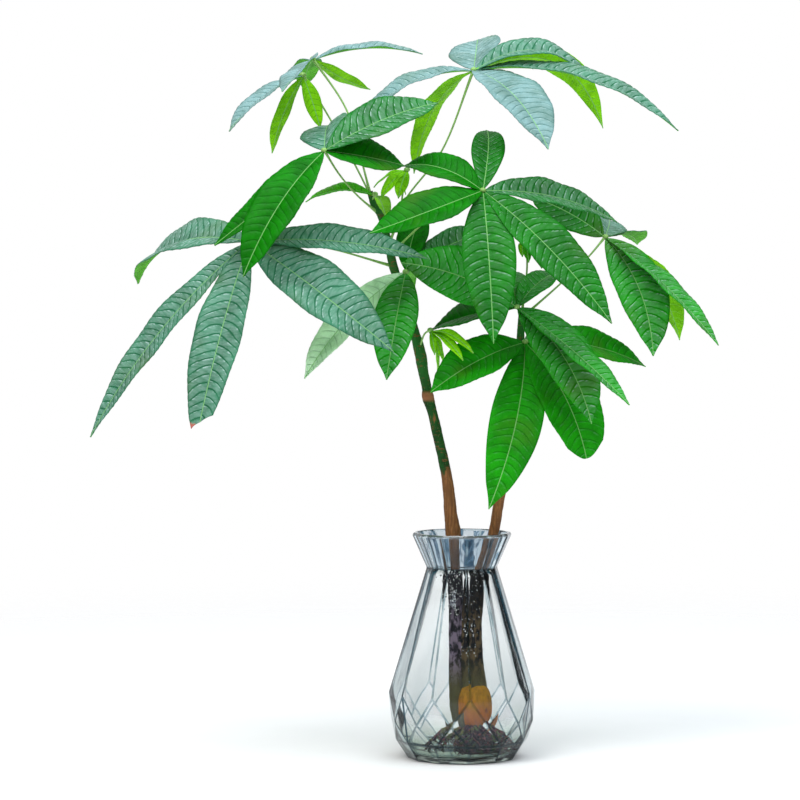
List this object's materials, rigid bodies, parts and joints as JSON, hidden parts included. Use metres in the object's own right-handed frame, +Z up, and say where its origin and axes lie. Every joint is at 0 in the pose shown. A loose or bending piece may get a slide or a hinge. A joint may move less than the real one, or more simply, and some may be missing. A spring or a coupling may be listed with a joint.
{
  "type": "potted money tree",
  "caption": "Leafy money tree with palmate leaves on slender stems, growing in a facetted clear glass vase of water with a flared collar.",
  "frame": {"origin": "centre of the vase's flat foot, on the surface that it stands on", "axes": "+Z up along the vase's axis, -Y towards the side that is looked at, +X to its right"},
  "size_m": [0.4276, 0.1952, 0.5012],
  "materials": {
    "glass": "clear, faintly smoky blue-grey, smooth",
    "water": "clear",
    "bark": "rough brown bark, greener towards the tips",
    "leaf": "semi-gloss dark green with pale veins",
    "young_leaf": "semi-gloss fresh yellow-green"
  },
  "bodies": {
    "root": {"vase": "glass", "water": "water", "trunk": "bark", "leaf_top_left": "leaf", "leaf_left_high": "leaf", "leaf_top": "leaf", "leaf_left_middle": "leaf", "leaf_front": "leaf", "leaf_big_left": "leaf", "leaf_centre": "leaf", "leaf_side_top": "leaf", "leaf_side_lower": "leaf", "leaf_right": "leaf", "leaf_young_left": "young_leaf", "leaf_young_upper": "young_leaf", "leaf_young_right": "young_leaf", "leaf_young_low": "young_leaf"}
  },
  "joints": []
}
